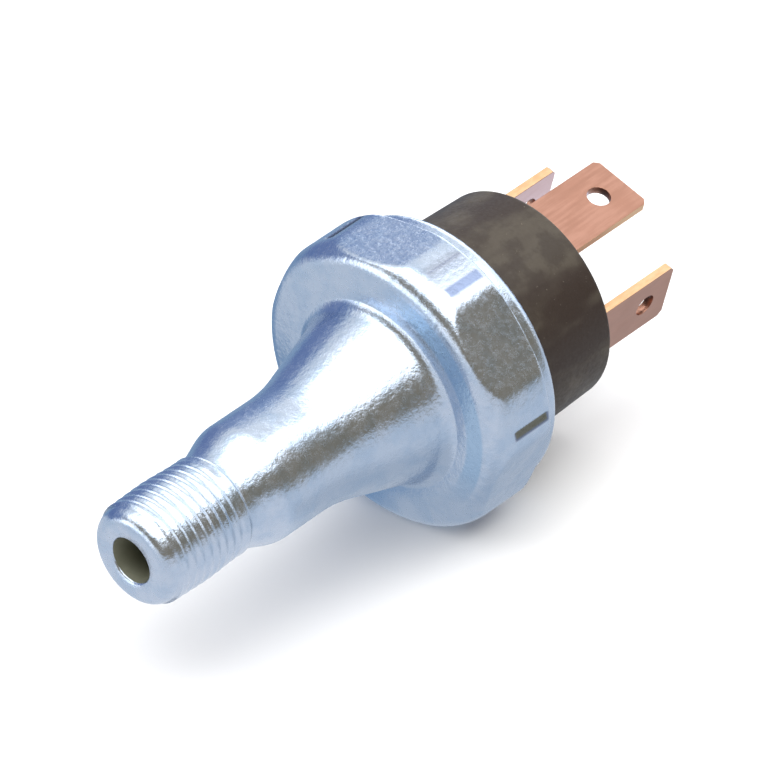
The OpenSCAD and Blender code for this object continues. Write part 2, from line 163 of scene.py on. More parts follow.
def soft_step(t):
    """Rises smoothly from 0 to 1 as t does."""
    t = min(max(t, 0), 1)
    return t * t * (3 - 2 * t)


def spin_outline(bm, outline, steps, closed):
    """Spins an outline of (x, radius) points about the X axis."""
    verts = [bm.verts.new((x, r, 0)) for x, r in outline]
    edges = [bm.edges.new(pair) for pair in zip(verts, verts[1:])]
    if closed:
        edges.append(bm.edges.new((verts[-1], verts[0])))
    bmesh.ops.spin(
        bm, geom=verts + edges, cent=(0, 0, 0), axis=(1, 0, 0), dvec=(0, 0, 0),
        angle=2 * math.pi, steps=steps, use_merge=True, use_duplicate=False,
    )


def make_piece(name, bm, smooth_angle=180):
    """Turns a bmesh into a smooth-shaded piece at the origin, with its faces outwards."""
    bmesh.ops.remove_doubles(bm, verts=bm.verts, dist=0.1e-6)
    bmesh.ops.recalc_face_normals(bm, faces=bm.faces)
    mesh = bpy.data.meshes.new(name)
    bm.to_mesh(mesh)
    bm.free()
    mesh.shade_smooth()
    if smooth_angle < 180:
        mesh.set_sharp_from_angle(angle=math.radians(smooth_angle))
    piece = bpy.data.objects.new(name, mesh)
    bpy.context.scene.collection.objects.link(piece)
    return piece


def snout_outline():
    """From the pressure chamber through the port, round the nose and back to the front face."""
    bend_x = flare_x - flare_bend_r * math.tan(root_lean / 2)
    bend_centre_r = collar_r + flare_bend_r
    root_turns = [root_lean + (root_stop - root_lean) * i / 12 for i in range(1, 13)]
    rise = [
        (shoulder_x + (collar_x - shoulder_x) * i / 18,
         relief_r + (collar_r - relief_r) * (1 - math.cos(math.pi * i / 18)) / 2)
        for i in range(19)
    ]
    samples = thread_turns * 14
    thread = [
        (nose_len + (thread_end_x - nose_len) * i / samples,
         thread_r + thread_taper * (thread_end_x - nose_len) * i / samples)
        for i in range(samples + 1)
    ]
    nose = [
        (nose_round * (1 - math.cos(t)), nose_r + nose_edge * math.sin(t))
        for t in [math.radians(9 * i) for i in range(11)]
    ]
    return (
        [(chamber_floor_x, port_seam_r), (chamber_floor_x, port_r)]
        + straight(chamber_floor_x, port_r, port_chamfer, port_r, 12)
        + [(0, port_r + port_chamfer)]
        + nose
        + thread
        + rise
        + straight(collar_x, collar_r, bend_x, collar_r, 10)
        + arc(bend_x, bend_centre_r, flare_bend_r, 180, 180 - math.degrees(root_lean), 8)
        + straight(
            bend_x + flare_bend_r * math.sin(root_lean),
            collar_r + flare_bend_r * (1 - math.cos(root_lean)), flare_end_x, root_r, 14)
        + [(flare_end_x + root_arc_r * (math.sin(t) - math.sin(root_lean)),
            root_r + root_arc_r * (math.cos(root_lean) - math.cos(t))) for t in root_turns]
        + [(face_x, root_arc_end_r + 0.15 * mm), (face_x, root_seam_r)]
    )


def head_outline():
    """From the front face over the hexagon and the rolled lip, and back down inside to the chamber."""
    slope = [
        (face_x + slope_depth * (i / 16) ** slope_curve,
         slope_in_r + (lip_out_r - slope_in_r) * i / 16)
        for i in range(16)
    ]
    front_edge = [
        (face_x + slope_depth + (edge_back - slope_depth) * (1 - math.cos(t)),
         lip_out_r + edge_in * math.sin(t))
        for t in [math.radians(5 * i) for i in range(19)]
    ]
    cover_r = bore_r - crimp_cover
    return (
        [(face_x, face_seam_r)]
        + slope
        + front_edge
        + straight(face_x + edge_back, corner_r, hex_end_x - edge_rear, corner_r, 26)
        + arc(hex_end_x - edge_rear, corner_r - edge_rear, edge_rear, 0, 90, 6)
        + [(hex_end_x, crimp_r)]
        + straight(hex_end_x, crimp_r, crimp_end_x - crimp_roll_r, crimp_r, 4)
        + arc(crimp_end_x - crimp_roll_r, crimp_r - crimp_roll_r, crimp_roll_r, 0, 90, 12)
        + straight(crimp_end_x, crimp_r - crimp_roll_r, crimp_end_x, cover_r + crimp_bevel_w, 3)
        + [(crimp_end_x - crimp_bevel_t, cover_r), (flange_end_x, cover_r), (flange_end_x, bore_r)]
        + [(seat_x, bore_r), (seat_x, chamber_r)]
        + [(chamber_floor_x, chamber_r), (chamber_floor_x, floor_seam_r)]
    )


def cut_thread(bm):
    """Cuts the helical thread into the plain tapered stretch, running out at both ends."""
    for v in bm.verts:
        x, r = v.co.x, math.hypot(v.co.y, v.co.z)
        if not nose_len - thread_pitch < x < shoulder_x or r < nose_r:
            continue
        turn = math.atan2(v.co.z, v.co.y) / (2 * math.pi)
        groove = 0.5 - 0.5 * math.cos(2 * math.pi * ((x - nose_len) / thread_pitch - turn))
        runs_in = soft_step((x - nose_len) / thread_pitch + 0.2)
        runs_out = soft_step((thread_end_x - x) / (1.6 * thread_pitch))
        washed = soft_step((x - nose_len) / (thread_end_x - nose_len) * 1.6 - 0.6) * (x <= thread_end_x)
        cut = thread_depth * groove * runs_in * runs_out + thread_wash * washed
        v.co.yz = v.co.yz * ((r - cut) / r)


def press_flats(bm):
    """Presses the six wrench flats into the round head, with soft edges."""
    for k in range(6):
        across = math.radians(30 + 60 * k)
        normal = Vector((0, math.cos(across), math.sin(across)))
        for v in bm.verts:
            out = v.co.dot(normal)
            if v.co.x < face_x or out < flat_r - flat_softness:
                continue
            overlap = max(flat_softness - abs(out - flat_r), 0) / flat_softness
            limit = min(out, flat_r) - overlap * overlap * flat_softness / 4
            v.co += (limit - out) * normal


def press_marks(bm, burnish):
    """Presses a chuck's three jaws into every second corner, and rubs the ones between them."""
    for v in bm.verts:
        r = math.hypot(v.co.y, v.co.z)
        if r < corner_r - corner_skin or v.co.x > hex_end_x:
            continue
        turn = (math.atan2(v.co.z, v.co.y) + math.pi / 6) / (math.pi / 3)
        corner = (turn % 1) * math.pi / 3 - math.pi / 6
        across = corner - mark_start
        starts = soft_step((v.co.x - mark_x) / mark_fade)
        stops = soft_step((mark_end_x - v.co.x) / mark_fade)
        if math.floor(turn) % 2:
            drop = min(max(across / mark_drop, 0), 1)
            ramp = min(max((mark_turn - across) / (mark_turn - mark_drop), 0), 1)
            v.co.yz = v.co.yz * ((r - mark_depth * drop * ramp * starts * stops) / r)
            v[burnish] = starts * stops * min(soft_step(drop), soft_step(3 * ramp))
        else:
            stripe = soft_step(across / mark_drop / 2 + 0.5)
            stripe *= soft_step((mark_turn - across) / mark_drop / 2 + 0.5)
            line = max(1 - (2 * (corner - line_turn) * r / line_w) ** 2, 0)
            rub = soft_step((rub_turn - abs(corner)) / rub_fade)
            rub *= soft_step((v.co.x - mark_x) / rub_lead + 0.8) * stops
            scored = starts * stops * max(stripe_level * stripe, line_level * line)
            v[burnish] = max(rub_level * rub, scored)


def paint_blue_reflection(bm, film):
    """Marks a painted reflection: a blue band in the shallow ring of the front face, on one side only."""
    for v in bm.verts:
        r = math.hypot(v.co.y, v.co.z)
        fades_in = soft_step((r - slope_in_r) / blue_band_in)
        fades_out = soft_step((lip_out_r - r) / blue_band_out + 0.4)
        side = math.cos(math.atan2(v.co.z, v.co.y) - blue_band_turn)
        on_face = v.co.x < face_x + slope_depth * 1.5
        v[film] = fades_in * fades_out * soft_step((side - 0.45) / 0.35) * on_face


def wire(tree, kind, inputs=None, **settings):
    """Adds a node, sets its properties, and gives each named input a value or a link."""
    made = tree.nodes.new(kind)
    for key, value in settings.items():
        setattr(made, key, value)
    for socket, value in (inputs or {}).items():
        if isinstance(value, bpy.types.NodeSocket):
            tree.links.new(value, made.inputs[socket])
        else:
            made.inputs[socket].default_value = value
    return made


def blended(tree, factor, first, second):
    """A colour between two others. Each is a colour or a socket."""
    mix = tree.nodes.new("ShaderNodeMix")
    mix.data_type = "RGBA"
    tree.links.new(factor, mix.inputs[0])
    for socket, value in ((mix.inputs[6], first), (mix.inputs[7], second)):
        if isinstance(value, bpy.types.NodeSocket):
            tree.links.new(value, socket)
        else:
            socket.default_value = (*value, 1)
    return mix.outputs[2]


def ranged(tree, value, low, high, to_low, to_high, interpolation="LINEAR"):
    """Maps a value from one range to another, clamped."""
    inputs = {"Value": value, "From Min": low, "From Max": high, "To Min": to_low, "To Max": to_high}
    made = wire(tree, "ShaderNodeMapRange", inputs, interpolation_type=interpolation)
    return made.outputs["Result"]


def new_material(name, **constants):
    """A material with a Principled shader, whose constant inputs are set on it."""
    material = bpy.data.materials.new(name)
    material.use_nodes = True
    shader = material.node_tree.nodes["Principled BSDF"]
    for socket, value in constants.items():
        shader.inputs[socket.replace("_", " ")].default_value = value
    return material, material.node_tree, shader


def make_skin_group():
    """Cloudy patches and a fine grain, as plating, rolling and moulding leave them."""
    group = bpy.data.node_groups.new("skin", "ShaderNodeTree")
    for name, value in (("Cloud Scale", 200), ("Grain Scale", 2000), ("Seed", 0)):
        socket = group.interface.new_socket(name, in_out="INPUT", socket_type="NodeSocketFloat")
        socket.default_value = value
    for name in ("Cloud", "Grain", "Height"):
        group.interface.new_socket(name, in_out="OUTPUT", socket_type="NodeSocketFloat")
    given = group.nodes.new("NodeGroupInput")
    put = group.nodes.new("NodeGroupOutput")
    place = wire(group, "ShaderNodeTexCoord").outputs["Object"]
    cloud = wire(group, "ShaderNodeTexNoise", {
        "Vector": place, "W": given.outputs["Seed"], "Scale": given.outputs["Cloud Scale"],
        "Detail": 4, "Roughness": 0.6,
    }, noise_dimensions="4D").outputs["Fac"]
    grain = wire(group, "ShaderNodeTexNoise", {
        "Vector": place, "W": given.outputs["Seed"], "Scale": given.outputs["Grain Scale"],
        "Detail": 3, "Roughness": 0.65,
    }, noise_dimensions="4D").outputs["Fac"]
    height = wire(group, "ShaderNodeMath", {0: cloud, 1: 1.2, 2: grain}, operation="MULTIPLY_ADD")
    group.links.new(cloud, put.inputs["Cloud"])
    group.links.new(grain, put.inputs["Grain"])
    group.links.new(height.outputs[0], put.inputs["Height"])
    return group


skin_group = make_skin_group()


def add_skin(tree, cloud_scale, grain_scale, seed):
    """Places the skin in a material. The scales are in patches to a metre, more or less."""
    inputs = {"Cloud Scale": cloud_scale, "Grain Scale": grain_scale, "Seed": seed}
    made = tree.nodes.new("ShaderNodeGroup")
    made.node_tree = skin_group
    for socket, value in inputs.items():
        made.inputs[socket].default_value = value
    return made


def bumped(tree, shader, height, strength, depth):
    """Feeds the shader a bump made from a height."""
    bump = wire(tree, "ShaderNodeBump", {"Height": height, "Strength": strength, "Distance": depth})
    tree.links.new(bump.outputs["Normal"], shader.inputs["Normal"])


def clouded(name, first, second, rough, scales, seed, relief=None, **constants):
    """A material clouded from one colour to another, with a fine grain in its gloss and relief."""
    material, tree, shader = new_material(name, **constants)
    skin = add_skin(tree, *scales, seed)
    tree.links.new(blended(tree, skin.outputs["Cloud"], first, second), shader.inputs["Base Color"])
    tree.links.new(ranged(tree, skin.outputs["Grain"], 0.3, 0.7, *rough), shader.inputs["Roughness"])
    if relief:
        height, strength, depth = relief
        bumped(tree, shader, skin.outputs[height], strength, depth)
    return material


def zinc_plate():
    """Clear blue zinc over steel: cloudy patches, a painted blue reflection on the front face, a tumbled,
    dimpled skin, and dull burnished marks.
    """
    pale_zinc, blue_zinc, reflected_blue_zinc = (0.53, 0.61, 0.73), (0.46, 0.56, 0.70), (0.36, 0.50, 0.67)
    rubbed, scored, pressed = (0.37, 0.41, 0.50), (0.19, 0.235, 0.35), (0.17, 0.17, 0.14)
    material, tree, shader = new_material("zinc_plate", Metallic=1)
    skin = add_skin(tree, 420, 1900, 1)
    patches = ranged(tree, skin.outputs["Cloud"], 0.4, 0.64, 0, 1, "SMOOTHSTEP")
    colour = blended(tree, patches, pale_zinc, blue_zinc)
    # The film attribute carries a painted reflection: a blue band on one side of the front face.
    blue_reflection = wire(tree, "ShaderNodeAttribute", attribute_name="film").outputs["Fac"]
    colour = blended(tree, blue_reflection, colour, reflected_blue_zinc)
    worn = wire(tree, "ShaderNodeAttribute", attribute_name="burnish").outputs["Fac"]
    for low, high, tint in ((0, 0.25, rubbed), (0.25, 0.5, scored), (0.5, 1, pressed)):
        colour = blended(tree, ranged(tree, worn, low, high, 0, 1), colour, tint)
    tree.links.new(colour, shader.inputs["Base Color"])
    roughness = ranged(tree, skin.outputs["Grain"], 0.35, 0.7, 0.19, 0.33)
    tree.links.new(roughness, shader.inputs["Roughness"])
    bumped(tree, shader, skin.outputs["Height"], 0.8, 0.06 * mm)
    return material


def housing_mesh():
    """The snout and the head, spun apart at their own finenesses and bridged into one shell."""
    snout = bmesh.new()
    spin_outline(snout, snout_outline(), snout_steps, closed=False)
    cut_thread(snout)
    snout_mesh = bpy.data.meshes.new("snout")
    snout.to_mesh(snout_mesh)
    snout.free()
    bm = bmesh.new()
    burnish = bm.verts.layers.float.new("burnish")
    # The film layer marks a painted reflection: a blue band on one side of the front face.
    film = bm.verts.layers.float.new("film")
    spin_outline(bm, head_outline(), head_steps, closed=False)
    paint_blue_reflection(bm, film)
    press_flats(bm)
    press_marks(bm, burnish)
    bm.from_mesh(snout_mesh)
    bpy.data.meshes.remove(snout_mesh)
    rims = [e for e in bm.edges if e.is_boundary]
    for at_face in (True, False):
        pair = [e for e in rims if (e.verts[0].co.x < (face_x + chamber_floor_x) / 2) == at_face]
        bmesh.ops.bridge_loops(bm, edges=pair)
    # Faces deep in the port take the second material: painted shade.
    for face in bm.faces:
        centre = face.calc_center_median()
        in_port = math.hypot(centre.y, centre.z) < port_r + 0.02 * mm and centre.x > port_chamfer
        face.material_index = int(in_port)
    return bm


# Deep in the port the bore is painted dark and dull: painted shade, where little light reaches.
bore_painted_shade = clouded(
    "bore_painted_shade", (0.15, 0.16, 0.12), (0.21, 0.21, 0.15),
    rough=(0.5, 0.7), scales=(400, 3000), seed=2, Metallic=0.3)

housing = make_piece("housing_shell", housing_mesh())
housing.data.materials.append(zinc_plate())
housing.data.materials.append(bore_painted_shade)
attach(housing, "root")
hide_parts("housing")

# -------------------------------------------------------- diaphragm stack
# A rubber ring seals the pressure chamber, and an amber film with one formed
# roll lies on it. A turned steel ring clamps them as the housing is crimped.

stack_edge = 0.12 * mm
roll_r = 7.5 * mm
roll_w = 0.9 * mm
roll_h = 0.22 * mm
film_middle_r = 3 * mm
film_edge = 0.05 * mm
seal_hole_r = chamber_r + 0.5 * mm


def break_edges(bm, width):
    """Rounds every edge sharper than 35 degrees slightly."""
    bmesh.ops.recalc_face_normals(bm, faces=bm.faces)
    sharp = [e for e in bm.edges if e.is_manifold and e.calc_face_angle() > math.radians(35)]
    bmesh.ops.bevel(
        bm, geom=sharp, offset=width, offset_type="OFFSET", segments=2, profile=0.5,
        affect="EDGES", material=-1, clamp_overlap=True, loop_slide=True,
    )


def even_shading(piece):
    """Keeps broad faces flat in shading beside their rounded edges."""
    piece.modifiers.new("even_shading", "WEIGHTED_NORMAL").weight = 80
    return piece


def turned(name, outline, edge, closed=True, centre=(0, 0), steps=96):
    """A piece turned about a line along X, with its sharp edges broken."""
    bm = bmesh.new()
    spin_outline(bm, outline, steps, closed)
    bmesh.ops.remove_doubles(bm, verts=bm.verts, dist=0.1e-6)
    bmesh.ops.translate(bm, verts=bm.verts, vec=(0, *centre))
    break_edges(bm, edge)
    return even_shading(make_piece(name, bm))


def fitted(piece, material, body, node):
    """Finishes a piece, and lets it ride on its body in place of its CAD node."""
    piece.data.materials.append(material)
    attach(piece, body)
    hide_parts(node)


def ring_outline(low_x, high_x, in_r, out_r):
    """The section of a plain ring."""
    return [(low_x, in_r), (low_x, out_r), (high_x, out_r), (high_x, in_r)]


def make_streak_group():
    """Fine lines along or round the switch's axis, as drawing, rolling and turning leave them."""
    group = bpy.data.node_groups.new("streaks", "ShaderNodeTree")
    for name, value in (("Along", 100), ("Across", 3000)):
        socket = group.interface.new_socket(name, in_out="INPUT", socket_type="NodeSocketFloat")
        socket.default_value = value
    group.interface.new_socket("Streak", in_out="OUTPUT", socket_type="NodeSocketFloat")
    given = group.nodes.new("NodeGroupInput")
    put = group.nodes.new("NodeGroupOutput")
    place = wire(group, "ShaderNodeTexCoord").outputs["Object"]
    scale = wire(group, "ShaderNodeCombineXYZ", {
        "X": given.outputs["Along"], "Y": given.outputs["Across"], "Z": given.outputs["Across"],
    }).outputs[0]
    drawn_out = wire(group, "ShaderNodeVectorMath", {0: place, 1: scale}, operation="MULTIPLY").outputs[0]
    streak = wire(group, "ShaderNodeTexNoise", {
        "Vector": drawn_out, "Scale": 1, "Detail": 3, "Roughness": 0.6,
    })
    group.links.new(streak.outputs["Fac"], put.inputs["Streak"])
    return group


streak_group = make_streak_group()


def add_streaks(tree, along, across):
    """Places the lines in a material, at their scales along the axis and across it."""
    lines = tree.nodes.new("ShaderNodeGroup")
    lines.node_tree = streak_group
    lines.inputs["Along"].default_value = along
    lines.inputs["Across"].default_value = across
    return lines.outputs["Streak"]


def lined_metal(name, first, second, rough, lines, seed):
    """A metal with fine lines in its gloss and colour, and cloudy patches over them."""
    material, tree, shader = new_material(name, Metallic=1)
    cloud = add_skin(tree, 300, 2500, seed).outputs["Cloud"]
    streak = add_streaks(tree, *lines)
    mixed = wire(tree, "ShaderNodeMath", {0: cloud, 1: streak}, operation="MULTIPLY").outputs[0]
    patches = ranged(tree, mixed, 0.16, 0.36, 0, 1, "SMOOTHSTEP")
    tree.links.new(blended(tree, patches, first, second), shader.inputs["Base Color"])
    tree.links.new(ranged(tree, streak, 0.3, 0.7, *rough), shader.inputs["Roughness"])
    bumped(tree, shader, streak, 0.5, 0.01 * mm)
    return material


# Matt black nitrile with a faint bloom.
seal_rubber = clouded(
    "seal_rubber", (0.018, 0.018, 0.018), (0.04, 0.04, 0.038), rough=(0.6, 0.85),
    scales=(300, 4000), seed=4, relief=("Grain", 0.4, 0.02 * mm), Specular_IOR_Level=0.35)

# Amber polyimide film with a smooth, slightly clouded gloss.
diaphragm_film = clouded(
    "diaphragm_film", (0.5, 0.2, 0.03), (0.66, 0.31, 0.06), rough=(0.25, 0.4),
    scales=(150, 1500), seed=5, Coat_Weight=0.5, Coat_Roughness=0.12)

turned_steel = lined_metal(
    "turned_steel", (0.5, 0.5, 0.5), (0.62, 0.62, 0.63), rough=(0.2, 0.4), lines=(8000, 40), seed=6)

seal_low, seal_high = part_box("seal_ring")
seal_outline = ring_outline(seal_low.x, seal_high.x, seal_hole_r, seal_high.y)
seal = turned("rubber_seal_ring", seal_outline, stack_edge, steps=128)
fitted(seal, seal_rubber, "root", "seal_ring")

film_low, film_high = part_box("diaphragm")
film_roll = [
    (-roll_h * math.sin(math.pi * i / 10), roll_r + roll_w * (i / 10 - 0.5)) for i in range(11)
]
film_outline = (
    [(film_low.x, 0), (film_low.x, film_middle_r)]
    + [(film_low.x + x, r) for x, r in film_roll]
    + [(film_low.x, film_high.y), (film_high.x, film_high.y)]
    + [(film_high.x + x, r) for x, r in reversed(film_roll)]
    + [(film_high.x, film_middle_r), (film_high.x, 0)]
)
film = turned("diaphragm_with_roll", film_outline, film_edge, closed=False, steps=128)
fitted(film, diaphragm_film, "root", "diaphragm")

clamp_low, clamp_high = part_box("clamp_ring")
plate_low, plate_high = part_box("pressure_plate")
clamp_hole_r = plate_high.y + 0.6 * mm
clamp_outline = ring_outline(clamp_low.x, clamp_high.x, clamp_hole_r, clamp_high.y)
clamp = turned("steel_clamp_ring", clamp_outline, stack_edge, steps=128)
fitted(clamp, turned_steel, "root", "clamp_ring")

# ---------------------------------------------- pressure plate and plunger
# The film pushes a steel plate. A moulded plunger stands in its blind hole,
# slides in a laminate guide, and carries a brass seat for the spring.

plunger_low, plunger_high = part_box("plunger")
guide_low, guide_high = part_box("guide_plate")
spring_seat_low, spring_seat_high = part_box("spring_seat")
leaf_low, leaf_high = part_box("contact_arm")
plate_edge = 0.12 * mm
spigot_r = 0.75 * mm
spigot_gap = 0.05 * mm
stem_r = 1.5 * mm
neck_r = 1.2 * mm
tip_r = 0.9 * mm
tip_bevel = 0.3 * mm
turning_edge = 0.08 * mm
crown_ball_r = 2.6 * mm
leaf_hole_r = 1.55 * mm
rest_gap = 0.02 * mm
mould_clear = 0.02 * mm
guide_boss_len = 0.95 * mm
guide_boss_r = stem_r + 1.1 * mm
guide_t = 0.9 * mm
guide_bore_r = stem_r + 0.06 * mm
guide_rim_in_r = clamp_hole_r + 0.2 * mm
guide_edge = 0.1 * mm

# Brown paper laminate: a mottled sheet with a slight gloss.
laminate = clouded(
    "laminate", (0.16, 0.075, 0.035), (0.3, 0.16, 0.08), rough=(0.35, 0.6),
    scales=(900, 5000), seed=7, relief=("Height", 0.3, 0.02 * mm), Specular_IOR_Level=0.4)

# Natural, glass-filled moulding: ivory with faint fibre clouds.
natural_moulding = clouded(
    "natural_moulding", (0.74, 0.69, 0.54), (0.86, 0.82, 0.7), rough=(0.3, 0.5),
    scales=(700, 4500), seed=8, relief=("Grain", 0.25, 0.02 * mm),
    Subsurface_Weight=0.15, Subsurface_Scale=0.4 * mm)

turned_brass = lined_metal(
    "turned_brass", (0.62, 0.42, 0.14), (0.76, 0.56, 0.24), rough=(0.16, 0.34), lines=(7000, 60), seed=9)

spigot_x = plunger_low.x
plate = turned("steel_pressure_plate", [
    (plate_low.x, 0), (plate_low.x, plate_high.y), (plate_high.x, plate_high.y),
    (plate_high.x, spigot_r + mould_clear), (spigot_x - spigot_gap, spigot_r + mould_clear),
    (spigot_x - spigot_gap, 0),
], plate_edge, closed=False)
fitted(plate, turned_steel, "plunger", "pressure_plate")

guide_back_x = guide_high.x - guide_boss_len
guide = turned("laminate_guide", [
    (guide_back_x - guide_t, guide_bore_r), (guide_back_x - guide_t, guide_rim_in_r),
    (guide_low.x, guide_rim_in_r), (guide_low.x, guide_high.y), (guide_back_x, guide_high.y),
    (guide_back_x, guide_boss_r), (guide_high.x, guide_boss_r), (guide_high.x, guide_bore_r),
], guide_edge)
fitted(guide, laminate, "root", "guide_plate")

crown_r = plunger_high.y
crown_x = guide_high.x + 0.4 * mm
crown_centre_x = leaf_low.x - math.sqrt(crown_ball_r ** 2 - leaf_hole_r ** 2) - rest_gap
crown_turn = math.degrees(math.asin(crown_r / crown_ball_r))
neck_turn = math.degrees(math.asin(neck_r / crown_ball_r))
plunger = turned("moulded_plunger", (
    [(spigot_x, 0), (spigot_x, spigot_r), (plate_high.x, spigot_r), (plate_high.x, stem_r)]
    + straight(plate_high.x, stem_r, crown_x, stem_r, 4)
    + [(crown_x, crown_r)]
    + arc(crown_centre_x, 0, crown_ball_r, 90 - crown_turn, 90 - neck_turn, 8)
    + [(spring_seat_low.x, neck_r), (spring_seat_low.x, tip_r)]
    + [(plunger_high.x - tip_bevel, tip_r), (plunger_high.x, tip_r - tip_bevel), (plunger_high.x, 0)]
), turning_edge, closed=False)
fitted(plunger, natural_moulding, "plunger", "plunger")

seat_t = 0.6 * mm
hub_r = 1.5 * mm
spring_seat = turned("brass_spring_seat", [
    (spring_seat_low.x, tip_r + mould_clear), (spring_seat_low.x, spring_seat_high.y),
    (spring_seat_low.x + seat_t, spring_seat_high.y), (spring_seat_low.x + seat_t, hub_r),
    (spring_seat_high.x, hub_r), (spring_seat_high.x, tip_r + mould_clear),
], turning_edge)
fitted(spring_seat, turned_brass, "plunger", "spring_seat")

# ------------------------------------------------- terminals and contacts
# Three blades are stamped from copper alloy strip and bent inside the base.
# Silver contacts are staked in two of them, and the third carries the leaf.

base_low, base_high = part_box("base")
blade_root_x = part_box("threaded_insert")[0].x - 1.7 * mm
base_turn = math.radians(24)
along_u = Vector((0, math.cos(base_turn), math.sin(base_turn)))
along_v = Vector((0, -math.sin(base_turn), math.cos(base_turn)))
strip_edge = 0.07 * mm
strip_t = 0.8 * mm
hole_reach = 2 * mm
hole_margin = 1 * mm
squarely = 0.75
silver_edge = 0.06 * mm
contact_h = 0.4 * mm
contact_dome_r = 3 * mm


def reach(node, direction):
    """How far a CAD node reaches along a direction."""
    return max(v.co.dot(direction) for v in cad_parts[node].data.vertices)


def loosened(node):
    """A bmesh of a CAD node, with its loose triangles merged into broad faces."""
    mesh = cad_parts[node].data.copy()
    mesh.attributes.remove(mesh.attributes["custom_normal"])
    mesh.materials.clear()
    bm = bmesh.new()
    bm.from_mesh(mesh)
    bpy.data.meshes.remove(mesh)
    bmesh.ops.remove_doubles(bm, verts=bm.verts, dist=1e-6)
    bmesh.ops.dissolve_limit(bm, angle_limit=math.radians(1), verts=bm.verts, edges=bm.edges)
    return bm


def stamped(name, bm, edge):
    """A stamping: its corners are broken, and its broad faces stay flat."""
    for e in bm.edges:
        e.smooth = True
    for face in bm.faces:
        face.smooth = True
        face.material_index = 0
    break_edges(bm, edge)
    return even_shading(make_piece(name, bm))


def mark_sheared(piece, thickness):
    """Gives the second material to edges that the punch has sheared, but not to the dull hole wall."""
    across = thickness.cross(Vector((1, 0, 0)))
    places = [v.co.dot(across) for v in piece.data.vertices if v.co.x > base_high.x]
    middle = (min(places) + max(places)) / 2
    tip_x = max(v.co.x for v in piece.data.vertices)
    for face in piece.data.polygons:
        rolled = abs(face.normal.dot(thickness)) > squarely
        foot = face.center.x < blade_root_x and abs(face.normal.x) > squarely
        inboard = blade_root_x < face.center.x < tip_x - hole_margin
        hole = abs(face.center.dot(across) - middle) < hole_reach and inboard
        face.material_index = int(not rolled and not foot and not hole)


copper_strip = lined_metal(
    "copper_strip", (0.41, 0.215, 0.155), (0.46, 0.25, 0.185), rough=(0.3, 0.4), lines=(200, 2600), seed=10)
sheared_copper = lined_metal(
    "sheared_copper", (0.72, 0.44, 0.24), (0.78, 0.5, 0.29), rough=(0.3, 0.4), lines=(900, 2500), seed=11)

for node, thickness in (("terminal_common", along_v), ("terminal_nc", along_u), ("terminal_no", along_u)):
    blade = stamped(node + "_blade", loosened(node), strip_edge)
    mark_sheared(blade, thickness)
    fitted(blade, copper_strip, "root", node)
    blade.data.materials.append(sheared_copper)

silver = lined_metal(
    "contact_silver", (0.72, 0.71, 0.68), (0.86, 0.86, 0.84),
    rough=(0.14, 0.3), lines=(3000, 3000), seed=12)

for node, facing_x in (("fixed_contact_nc", -1), ("fixed_contact_no", 1)):
    low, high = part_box(node)
    head_r = (high.y - low.y) / 2
    face_at = high.x if facing_x < 0 else low.x
    shank_end = low.x if facing_x < 0 else high.x
    contact = turned(node + "_rivet", [
        (face_at, 0), (face_at, head_r), (face_at + facing_x * contact_h, head_r),
        (face_at + facing_x * contact_h, head_r / 2), (shank_end, head_r / 2), (shank_end, 0),
    ], silver_edge, closed=False, centre=((low.y + high.y) / 2, (low.z + high.z) / 2), steps=64)
    fitted(contact, silver, "root", node)

# ------------------------------------------------------------ contact arm
# A phosphor bronze leaf is riveted to the common blade's foot. Its ring rides
# on the plunger's crown, and its tongue carries a silver contact, domed on
# both sides.

foot_edge = 3.6 * mm
bend_len = 2 * mm
bend_cuts = 8
leaf_edge = 0.03 * mm
moving_edge = 0.04 * mm
rivet_edge = 0.05 * mm

bronze = lined_metal(
    "spring_bronze", (0.56, 0.33, 0.13), (0.68, 0.44, 0.21), rough=(0.18, 0.36), lines=(2600, 500), seed=13)

leaf_bm = loosened("contact_arm")
for i in range(bend_cuts + 1):
    cut_v = foot_edge - bend_len * i / bend_cuts
    bmesh.ops.bisect_plane(
        leaf_bm, geom=leaf_bm.verts[:] + leaf_bm.edges[:] + leaf_bm.faces[:], dist=0.1e-6,
        plane_co=along_v * cut_v, plane_no=along_v,
    )
leaf = stamped("bronze_leaf", leaf_bm, leaf_edge)
leaf.data.materials.append(bronze)
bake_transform(leaf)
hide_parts("contact_arm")

low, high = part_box("moving_contact")
head_r = (high.y - low.y) / 2
dome_turn = math.degrees(math.asin(head_r / contact_dome_r))
near_dome = [
    (2 * (low.x + contact_dome_r) - x, r)
    for x, r in arc(low.x + contact_dome_r, 0, contact_dome_r, 90 - dome_turn / 4, 90 - dome_turn, 4)
]
far_dome = arc(high.x - contact_dome_r, 0, contact_dome_r, 90 - dome_turn, 90 - dome_turn / 4, 4)
moving_contact = turned("moving_contact_rivet", (
    [(low.x, 0)]
    + near_dome
    + [(leaf_low.x, head_r), (leaf_low.x, head_r / 2), (leaf_high.x, head_r / 2), (leaf_high.x, head_r)]
    + far_dome
    + [(high.x, 0)]
), moving_edge, closed=False, centre=((low.y + high.y) / 2, (low.z + high.z) / 2), steps=64)
fitted(moving_contact, silver, "contact_arm", "moving_contact")

rivets = stamped("leaf_rivets", loosened("arm_rivets"), rivet_edge)
fitted(rivets, turned_brass, "root", "arm_rivets")

# ----------------------------------------------------------- adjusting gear
# A music wire spring with closed ends loads the plunger. A slotted set screw
# in a brass insert sets its force, and black compound seals the hole.

spring_low, spring_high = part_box("calibration_spring")
plug_low, plug_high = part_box("seal_plug")
wire_r = 0.2 * mm
coil_r = spring_high.y - wire_r
coil_turns = 5
closed_pitch = 2.1 * wire_r
turn_steps = 36
meniscus = 0.2 * mm
plug_edge = 0.04 * mm


